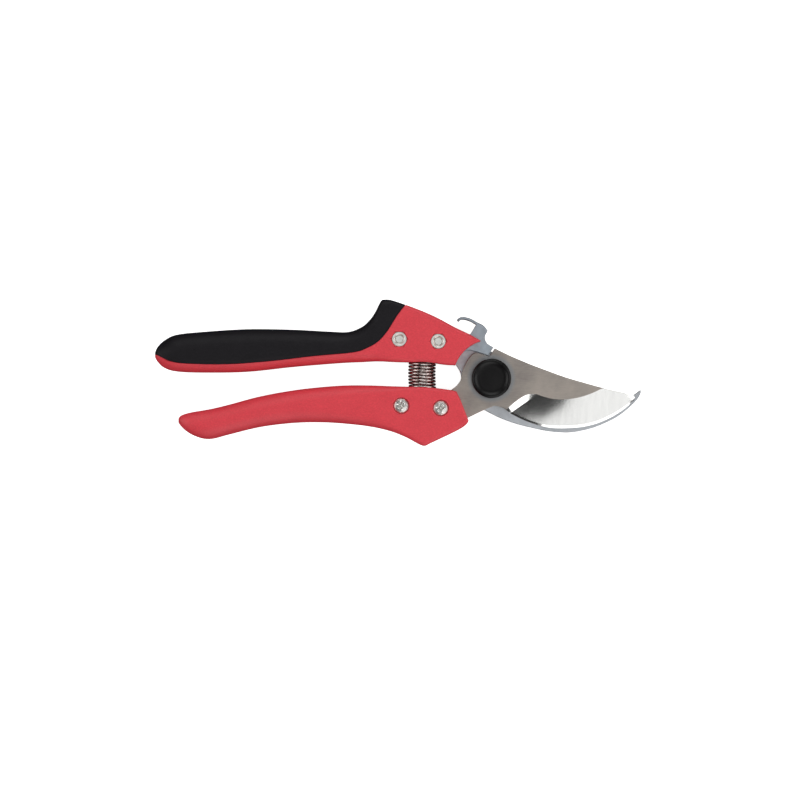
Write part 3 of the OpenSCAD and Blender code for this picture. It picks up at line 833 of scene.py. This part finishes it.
def hex_nut(name, node, bore_r, origin=PIVOT):
    """A chamfered hexagon nut with a countersunk bore, at the size and height of its CAD node."""
    r = radius_of(node)
    low, high = span(node, 2)
    crown = r * 0.86
    fall = (r - crown) * math.tan(math.radians(30))
    profile = [
        (bore_r, low + 0.5, 0), (bore_r + 0.5, low, 0), (crown, low, 0), (r, low + fall, 1),
        (r, high - fall, 1), (crown, high, 0), (bore_r + 0.5, high, 0), (bore_r, high - 0.5, 0),
    ]
    return turned_part(name, (0, 0), profile, closed=True, corner=hexagon, origin=origin)


def star(turn, radius):
    """The six-lobed drive socket."""
    return radius * (1 + 0.24 * np.cos(6 * turn))


def button_screw(node, head_up):
    """A button head with a six-lobed socket and a pin in it, on a threaded shank, turned over where its
    head is below."""
    end, top = span(node, 2)
    if not head_up:
        end, top = HANDLE_T - top, HANDLE_T - end
    r = radius_of(node)
    under = top - HEAD_H
    profile = [(0.01, top - 0.4, 0), (0.5, top - 0.45, 0), (0.62, top - 0.6, 0), (0.7, top - 1.5, 0)]
    profile += [(1.2, top - 1.39, 1), (1.3, top - 0.06, 1), (1.42, top, 1)]
    profile += [(r * s, top - 0.55 * s**3, 0) for s in (0.6, 0.72, 0.84, 0.93, 0.98)]
    profile += [(r, top - 0.72, 0), (r, under + 0.15, 0), (r - 0.15, under, 0)]
    piece = turned_part("screw", (0, 0), profile + thread(SCREW_R, under, end), corner=star, origin=(0, 0))
    if not head_up:
        for vertex in piece.data.vertices:
            vertex.co.z = HANDLE_T * MM - vertex.co.z
        piece.data.flip_normals()
    return piece


def thread(radius, start, end):
    """Ring grooves of a threaded shank, down to a chamfered end."""
    pitch, depth = 0.6, 0.18
    profile = [(radius, start, 0)]
    z = start - 0.8
    while z > end + pitch:
        profile += [(radius, z, 0), (radius - depth, z - pitch / 2, 0)]
        z -= pitch
    return profile + [(radius, end + 0.35, 0), (radius - 0.35, end, 0), (0.01, end + 0.02, 0)]


def new_tree(name, **inputs):
    """A tree that takes geometry, these named inputs and a finish, and gives geometry."""
    tree = bpy.data.node_groups.new(name, "GeometryNodeTree")
    face = tree.interface
    for label, kind in {"Geometry": "Geometry", **inputs, "Finish": "Material"}.items():
        face.new_socket(label.replace("_", " "), in_out="INPUT", socket_type="NodeSocket" + kind)
    face.new_socket("Geometry", in_out="OUTPUT", socket_type="NodeSocketGeometry")
    return tree, put(tree, "NodeGroupInput").outputs


def close_tree(tree, geometry, finish):
    """Ends a tree in plain meshes with their finish."""
    real = put(tree, "GeometryNodeRealizeInstances", {"Geometry": geometry})
    finished = put(tree, "GeometryNodeSetMaterial", {"Geometry": real, "Material": finish})
    put(tree, "NodeGroupOutput", {"Geometry": finished})
    return tree


def run_tree(name, points, tree, **values):
    """Runs a tree on loose points with its named inputs, and keeps the result as a plain mesh."""
    mesh = bpy.data.meshes.new(name)
    mesh.from_pydata(points, [], [])
    piece = bpy.data.objects.new(name, mesh)
    bpy.context.scene.collection.objects.link(piece)
    made = piece.modifiers.new("tree", "NODES")
    made.node_group = tree
    sockets = {s.name: s.identifier for s in tree.interface.items_tree if s.in_out == "INPUT"}
    for label, value in values.items():
        made[sockets[label.replace("_", " ")]] = value
    return baked(piece)


def row_tree():
    """Puts one fastener at every point, each turned a little differently."""
    tree, source = new_tree("fastener row", Fastener="Object", Largest_turn="Float", Seed="Int")
    points = put(tree, "GeometryNodeMeshToPoints", {"Mesh": source["Geometry"]})
    shape = put(tree, "GeometryNodeObjectInfo", {"Object": source["Fastener"]}).outputs["Geometry"]
    inputs = {2: 0.0, 3: source["Largest turn"], "Seed": source["Seed"]}
    angle = put(tree, "FunctionNodeRandomValue", inputs, data_type="FLOAT").outputs[1]
    turn = put(tree, "ShaderNodeCombineXYZ", {"Z": angle})
    inputs = {"Points": points, "Instance": shape, "Rotation": turn}
    return close_tree(tree, put(tree, "GeometryNodeInstanceOnPoints", inputs), source["Finish"])


def build_handle_screws(nickel):
    """The screws of both handles, and their nuts: one piece of each for a handle."""
    tree = row_tree()
    for half, pairs, head_up in (("upper", UPPER_SCREWS, False), ("lower", LOWER_SCREWS, True)):
        screws, nuts = zip(*pairs)
        points = [[*(PIVOT + middle(screw) * MM), 0] for screw in screws]
        for name, shape, nodes, seed, largest_turn in (
            ("_screws", button_screw(screws[0], head_up), screws, 3, 1.0),
            ("_nuts", hex_nut("nut", nuts[0], SCREW_R + RUN, (0, 0)), nuts, 5, 0.0),
        ):
            values = {"Fastener": shape, "Largest_turn": largest_turn, "Seed": seed, "Finish": nickel}
            piece = shade(run_tree(half + name, points, tree, **values))
            bpy.data.objects.remove(shape)
            hand_in(piece, half + "_half", "fastener_steel", *nodes)


def build_cap():
    """The pivot's cover: a shallow dished cap with a round rim."""
    low, high = span("pivot_cap", 2)
    r = radius_of("pivot_cap")
    top = high - 0.15
    rim_r = 1.1
    bolt_room = 6.45
    dome_r = r - 3.2
    profile = [(0.01, high - 1.7, 0), (bolt_room, high - 1.7, 0), (bolt_room, low + 0.2, 0)]
    profile += [(bolt_room + 0.2, low, 0), (r - 0.15, low, 0), (r, low + 0.15, 0)]
    for a in np.linspace(0, math.pi / 2, 9):
        profile.append((r - rim_r + rim_r * math.cos(a), top - rim_r + rim_r * math.sin(a), 0))
    profile += [(r - 1.35, top - 0.05, 0), (r - 1.7, top - 0.3, 0), (r - 2.3, top - 0.62, 0)]
    profile += [(s, top - 0.74 + 0.22 * (1 - (s / dome_r) ** 2), 0) for s in (dome_r, 4, 3, 2, 1, 0.01)]
    return shade(turned_part("pivot_cap_cover", (0, 0), profile), 40)


def build_bolt():
    """The pivot bolt: a low round head, the shoulder that the jaws turn on, and its thread."""
    low, high = span("pivot_bolt", 2)
    r = radius_of("pivot_bolt")
    under = high - 2.3
    profile = [(0.01, high - 0.1, 0), (r - 0.3, high, 0), (r, high - 0.3, 0), (r, under + 0.1, 0)]
    profile += [(r - 0.1, under, 0), (SHOULDER_R, under, 0), (SHOULDER_R, COUNTER_Z + 0.1, 0)]
    return shade(turned_part("pivot_bolt_shank", (0, 0), profile + thread(BOLT_THREAD_R, COUNTER_Z, low)))


def build_bush():
    """The flanged bush that the latch turns on."""
    low, high = span("latch_bush", 2)
    inner = SCREW_R + LOOSE
    flange = 4.7
    profile = [(inner, low, 0), (flange - 0.2, low, 0), (flange, low + 0.2, 0)]
    profile += [(flange, low + FLANGE_T - 0.2, 0), (flange - 0.2, low + FLANGE_T, 0)]
    profile += [(BUSH_R, low + FLANGE_T, 0), (BUSH_R, high - 0.1, 0)]
    profile += [(BUSH_R - 0.1, high, 0), (inner, high, 0)]
    return shade(turned_part("latch_bush_sleeve", LATCH_PIVOT, profile, closed=True))


def build_ring(node, inner_r):
    """A washer with rounded edges, in the place and at the size of its CAD node."""
    low, high = span(node, 2)
    r = radius_of(node)
    soft = 0.12
    profile = [(inner_r, low + soft, 0), (inner_r + soft, low, 0), (r - soft, low, 0)]
    profile += [(r, low + soft, 0), (r, high - soft, 0), (r - soft, high, 0)]
    profile += [(inner_r + soft, high, 0), (inner_r, high - soft, 0)]
    return shade(turned_part(node + "_ring", middle(node), profile, closed=True))


def build_pivot(finishes):
    """The cap, bolt, nut and washers of the pivot, and the bush and washer of the latch."""
    steel = ("fastener_steel", finishes["nickel"])
    for piece, node, (material_slot, finish) in (
        (build_cap(), "pivot_cap", ("cap_plastic", finishes["cap"])),
        (build_bolt(), "pivot_bolt", steel),
        (shade(hex_nut("pivot_lock_nut", "pivot_nut", BOLT_THREAD_R + RUN)), "pivot_nut", steel),
        (build_ring("pivot_washer", BOLT_THREAD_R + LOOSE), "pivot_washer", steel),
        (build_ring("pivot_spring_washer", SHOULDER_R + LOOSE), "pivot_spring_washer", steel),
        (build_ring("latch_washer", BUSH_R + RUN), "latch_washer", ("nylon", finishes["natural"])),
        (build_bush(), "latch_bush", steel),
    ):
        hand_in(piece, "upper_half", material_slot, node, finish=finish)


# ---------- return spring ----------

# How far the coil bows forwards, in millimetres
BOW = -0.45


def coil_tree():
    """A compression coil along the Y axis, bowed sideways, made from a spiral and a round wire."""
    sizes = dict.fromkeys(("Coil_radius", "Wire_radius", "Length", "Turns", "Bow"), "Float")
    tree, source = new_tree("coil spring", **sizes, Place="Vector")
    inputs = {"Resolution": 48, "Rotations": source["Turns"], "Height": source["Length"]}
    inputs |= {"Start Radius": source["Coil radius"], "End Radius": source["Coil radius"]}
    coil = put(tree, "GeometryNodeCurveSpiral", inputs)
    height = put(tree, "ShaderNodeSeparateXYZ", {0: put(tree, "GeometryNodeInputPosition")}).outputs["Z"]
    share = put(tree, "ShaderNodeMath", {0: height, 1: source["Length"]}, operation="DIVIDE")
    half_turn = put(tree, "ShaderNodeMath", {0: share, 1: math.pi}, operation="MULTIPLY")
    swell = put(tree, "ShaderNodeMath", {0: half_turn}, operation="SINE")
    aside = put(tree, "ShaderNodeMath", {0: swell, 1: source["Bow"]}, operation="MULTIPLY")
    shift = put(tree, "ShaderNodeCombineXYZ", {"X": aside})
    bowed = put(tree, "GeometryNodeSetPosition", {"Geometry": coil, "Offset": shift})
    inputs = {"Geometry": bowed, "Translation": source["Place"], "Rotation": (-math.pi / 2, 0, 0)}
    laid = put(tree, "GeometryNodeTransform", inputs)
    inputs = {"Resolution": 14, "Radius": source["Wire radius"]}
    wire = put(tree, "GeometryNodeCurvePrimitiveCircle", inputs)
    inputs = {"Curve": laid, "Profile Curve": wire, "Fill Caps": True}
    return close_tree(tree, put(tree, "GeometryNodeCurveToMesh", inputs), source["Finish"])


def build_spring(sizes, finish):
    """The return spring, in the place of its CAD node."""
    low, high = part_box("return_spring")
    wire_r = sizes.wire_diameter / 2
    piece = run_tree(
        "return_spring_coil",
        [],
        coil_tree(),
        Coil_radius=(high.x - low.x) / 2 - wire_r,
        Wire_radius=wire_r,
        Length=high.y - low.y - 2 * wire_r,
        Turns=sizes.spring_turns,
        Bow=BOW * MM,
        Place=((low.x + high.x) / 2, low.y + wire_r, (low.z + high.z) / 2),
        Finish=finish,
    )
    piece.data.shade_smooth()
    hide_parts("return_spring")
    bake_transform(piece)


# ---------- studio ----------


# Soft boxes that look at the shears: name, place, size and power
LIGHTS = (
    # What the flats of the jaws and the tops of the screws mirror
    ("overhead light", (0.05, 0.1, 2.2), 0.9, 2.2),
    # What the hollow grinding mirrors, from dark near the pivot to bright near the tip
    ("key light", (0.42, -0.385, 1.22), 0.7, 1.5),
    # What the bevel, the run-out and the rounded edges mirror
    ("front light", (0.45, -1.3, 0.65), 1.5, 13),
    ("left light", (-1.3, 0.1, 0.8), 1.2, 11),
    ("rear light", (0.1, 1.3, 0.8), 1.2, 11),
    ("right light", (1.35, 0.2, 0.75), 1.2, 11),
)
WORLD_STRENGTH = 0.03
FLOOR_GLOW = 1.0
FLOOR_HALF = 3000
LENS = 150.0
SENSOR = 36.0
FRAME_WIDTH = 0.3381
AIM = Vector((PIVOT[0] - 0.0385, PIVOT[1] - 0.0091, 0.009))


def build_floor():
    """Opal acrylic, lit from below: an even white with no shadow on it."""
    corners = [[x * FLOOR_HALF, y * FLOOR_HALF, -0.02] for x, y in ((-1, -1), (1, -1), (1, 1), (-1, 1))]
    floor = mesh_object("studio_floor", corners, [(0, 1, 2, 3)])
    material, tree, place = new_material("white acrylic table, lit from below")
    white = layer(tree, linear("#F4F4F3"), linear("#F7F7F6"), patches(tree, place, 60, 2), 0.3, 0.7)
    inputs = {"Base Color": white, "Roughness": 0.9}
    inputs |= {"Emission Color": white, "Emission Strength": FLOOR_GLOW}
    surface = put(tree, "ShaderNodeBsdfPrincipled", inputs)
    put(tree, "ShaderNodeOutputMaterial", {"Surface": surface})
    floor.data.materials.append(material)
    # Its light would wash out the edges of the handles and the steel
    floor.visible_glossy = False
    floor.visible_diffuse = False


def build_lights():
    """A dim world and square soft boxes."""
    scene = bpy.context.scene
    world = bpy.data.worlds.new("studio")
    world.use_nodes = True
    background = world.node_tree.nodes["Background"].inputs
    background["Color"].default_value = (1, 1, 1, 1)
    background["Strength"].default_value = WORLD_STRENGTH
    scene.world = world
    for name, place, size, power in LIGHTS:
        light = bpy.data.lights.new(name, "AREA")
        light.shape = "SQUARE"
        light.size = size
        light.energy = power
        lamp = bpy.data.objects.new(name, light)
        lamp.location = place
        lamp.rotation_mode = "QUATERNION"
        lamp.rotation_quaternion = (-Vector(place)).to_track_quat("-Z", "Y")
        scene.collection.objects.link(lamp)


def build_camera():
    """A long lens straight above the shears."""
    scene = bpy.context.scene
    scene.view_settings.view_transform = "Standard"
    camera = bpy.data.cameras.new("camera")
    camera.lens = LENS
    camera.sensor_width = SENSOR
    camera.clip_end = 20.0
    view = bpy.data.objects.new("camera", camera)
    view.location = AIM + Vector((0, 0, FRAME_WIDTH * LENS / SENSOR))
    scene.collection.objects.link(view)
    scene.camera = view


# ---------- properties, operators and panel ----------


class ShearsSizes(bpy.types.PropertyGroup):
    """Sizes that can be changed without touching the frame."""

    groove_width: bpy.props.FloatProperty(
        name="Groove width",
        description="Width of the groove between the soft grip and the bare handle",
        default=0.3 * MM,
        unit="LENGTH",
    )
    groove_depth: bpy.props.FloatProperty(
        name="Groove depth", description="Depth of that groove", default=0.35 * MM, unit="LENGTH"
    )
    wire_diameter: bpy.props.FloatProperty(
        name="Spring wire", description="Diameter of the spring's wire", default=1.1 * MM, unit="LENGTH"
    )
    spring_turns: bpy.props.FloatProperty(
        name="Spring turns", description="Number of turns of the return spring", default=12.0
    )


# What every colour property has in common
COLOUR = {"size": 4, "subtype": "COLOR"}


class ShearsColours(bpy.types.PropertyGroup):
    """Colours of the finishes."""

    handle: bpy.props.FloatVectorProperty(
        name="Handles", description="Moulded nylon", default=linear("#D83F49"), **COLOUR
    )
    handle_deep: bpy.props.FloatVectorProperty(
        name="Handles, deep", description="Clouds in the nylon", default=linear("#CD3843"), **COLOUR
    )
    grip: bpy.props.FloatVectorProperty(
        name="Soft grip", description="Overmoulded elastomer", default=linear("#100E12"), **COLOUR
    )
    cap: bpy.props.FloatVectorProperty(
        name="Pivot cap", description="Black nylon", default=linear("#070607"), **COLOUR
    )
    blade: bpy.props.FloatVectorProperty(
        name="Blade flat", description="Satin chromed steel", default=linear("#BBB2A9"), **COLOUR
    )
    blade_tint: bpy.props.FloatVectorProperty(
        name="Blade clouds", description="Clouds on the flat", default=linear("#948D89"), **COLOUR
    )
    ground: bpy.props.FloatVectorProperty(
        name="Ground face", description="Polished steel", default=linear("#F0F0EE"), **COLOUR
    )
    counter: bpy.props.FloatVectorProperty(
        name="Counter blade", description="Tumbled steel", default=linear("#D2D6DB"), **COLOUR
    )
    latch: bpy.props.FloatVectorProperty(
        name="Latch", description="Blued sheet", default=linear("#B2BBC4"), **COLOUR
    )
    plating: bpy.props.FloatVectorProperty(
        name="Plating", description="Nickel plate", default=linear("#F2F1EC"), **COLOUR
    )


# Every finish by its short name, once it is made
FINISHES = {}


class ShearsProperties(bpy.types.PropertyGroup):
    """Everything that the panel shows."""

    sizes: bpy.props.PointerProperty(type=ShearsSizes)
    colours: bpy.props.PointerProperty(type=ShearsColours)

    def finishes(self):
        """Every finish by its short name, made once."""
        if not FINISHES:
            c = self.colours
            FINISHES.update(
                handle=moulded_nylon("glass-filled nylon, spark-eroded grain", c.handle, c.handle_deep, 0.5),
                grip=soft_elastomer("overmoulded elastomer, leathery grain", c.grip),
                cap=moulded_nylon("black nylon, satin moulded", c.cap, c.cap, 0.34, 0.2),
                natural=moulded_nylon("natural nylon, turned", linear("#D9D7CC"), linear("#D0CEC2"), 0.45),
                blade=satin_blade_steel("chromed carbon steel, satin belted", c.blade, c.blade_tint),
                ground=ground_steel("carbon steel, hollow ground and polished", c.ground),
                counter=tumbled_steel("forged steel, tumbled", c.counter),
                latch=tumbled_steel("pressed steel sheet, blued", c.latch, (0.28, 0.38)),
                nickel=bright_plating("machine steel, nickel plated", c.plating),
                wire=drawn_wire("spring wire, drawn", linear("#CFC8C4")),
            )
        return FINISHES


class SHEARS_OT_handles(bpy.types.Operator):
    """Both moulded handles, with the soft grip on the upper one"""

    bl_idname = "shears.handles"
    bl_label = "Handles and grip"

    def execute(self, context):
        props = context.scene.shears
        red = props.finishes()["handle"]
        black = props.finishes()["grip"]
        hand_in(build_upper_handle(props.sizes), "upper_half", "handle_plastic", "upper_handle", finish=red)
        hand_in(build_upper_grip(props.sizes), "upper_half", "soft_grip", "upper_grip", finish=black)
        hand_in(build_lower_handle(), "lower_half", "handle_plastic", "lower_handle", finish=red)
        return {"FINISHED"}


class SHEARS_OT_jaws(bpy.types.Operator):
    """The hollow-ground cutting blade and the hooked counter blade"""

    bl_idname = "shears.jaws"
    bl_label = "Jaws"

    def execute(self, context):
        finishes = context.scene.shears.finishes()
        blade = build_cutting_blade(finishes["blade"], finishes["ground"])
        hand_in(blade, "lower_half", "blade_steel", "cutting_blade")
        counter = build_counter_blade()
        hand_in(counter, "upper_half", "counter_steel", "counter_blade", finish=finishes["counter"])
        return {"FINISHED"}


class SHEARS_OT_latch(bpy.types.Operator):
    """The pressed latch with its bent thumb tab"""

    bl_idname = "shears.latch"
    bl_label = "Latch"

    def execute(self, context):
        blued = context.scene.shears.finishes()["latch"]
        hand_in(build_latch(), "latch", "latch_steel", "latch", finish=blued)
        return {"FINISHED"}


class SHEARS_OT_pivot(bpy.types.Operator):
    """The pivot bolt with its cap, nut and washers, and the latch's bush"""

    bl_idname = "shears.pivot"
    bl_label = "Pivot and bush"

    def execute(self, context):
        build_pivot(context.scene.shears.finishes())
        return {"FINISHED"}


class SHEARS_OT_screws(bpy.types.Operator):
    """The screws and nuts that hold the jaws in the handles"""

    bl_idname = "shears.screws"
    bl_label = "Handle screws"

    def execute(self, context):
        build_handle_screws(context.scene.shears.finishes()["nickel"])
        return {"FINISHED"}


class SHEARS_OT_spring(bpy.types.Operator):
    """The return spring between the handles"""

    bl_idname = "shears.spring"
    bl_label = "Return spring"

    def execute(self, context):
        props = context.scene.shears
        build_spring(props.sizes, props.finishes()["wire"])
        return {"FINISHED"}


class SHEARS_OT_stage(bpy.types.Operator):
    """The floor, the lights and the camera"""

    bl_idname = "shears.stage"
    bl_label = "Studio"

    def execute(self, context):
        build_floor()
        build_lights()
        build_camera()
        return {"FINISHED"}


STEPS = (
    SHEARS_OT_handles,
    SHEARS_OT_jaws,
    SHEARS_OT_latch,
    SHEARS_OT_pivot,
    SHEARS_OT_screws,
    SHEARS_OT_spring,
    SHEARS_OT_stage,
)


class SHEARS_PT_panel(bpy.types.Panel):
    """Sizes, colours and one button for each step"""

    bl_idname = "SHEARS_PT_panel"
    bl_label = "Pruning shears"
    bl_space_type = "VIEW_3D"
    bl_region_type = "UI"
    bl_category = "Shears"

    def draw(self, context):
        props = context.scene.shears
        for group in (props.sizes, props.colours):
            box = self.layout.box()
            for key in group.__annotations__:
                box.prop(group, key)
        for step in STEPS:
            self.layout.operator(step.bl_idname)


CLASSES = (ShearsSizes, ShearsColours, ShearsProperties, *STEPS, SHEARS_PT_panel)


def register():
    """Adds the classes, and the shears' properties to the scene."""
    for cls in CLASSES:
        bpy.utils.register_class(cls)
    bpy.types.Scene.shears = bpy.props.PointerProperty(type=ShearsProperties)


def unregister():
    """Takes them away again."""
    del bpy.types.Scene.shears
    for cls in reversed(CLASSES):
        bpy.utils.unregister_class(cls)


def main():
    """Builds every piece and the stage in order."""
    register()
    bpy.ops.shears.handles()
    bpy.ops.shears.jaws()
    bpy.ops.shears.latch()
    bpy.ops.shears.pivot()
    bpy.ops.shears.screws()
    bpy.ops.shears.spring()
    bpy.ops.shears.stage()


if __name__ == "__main__":
    main()
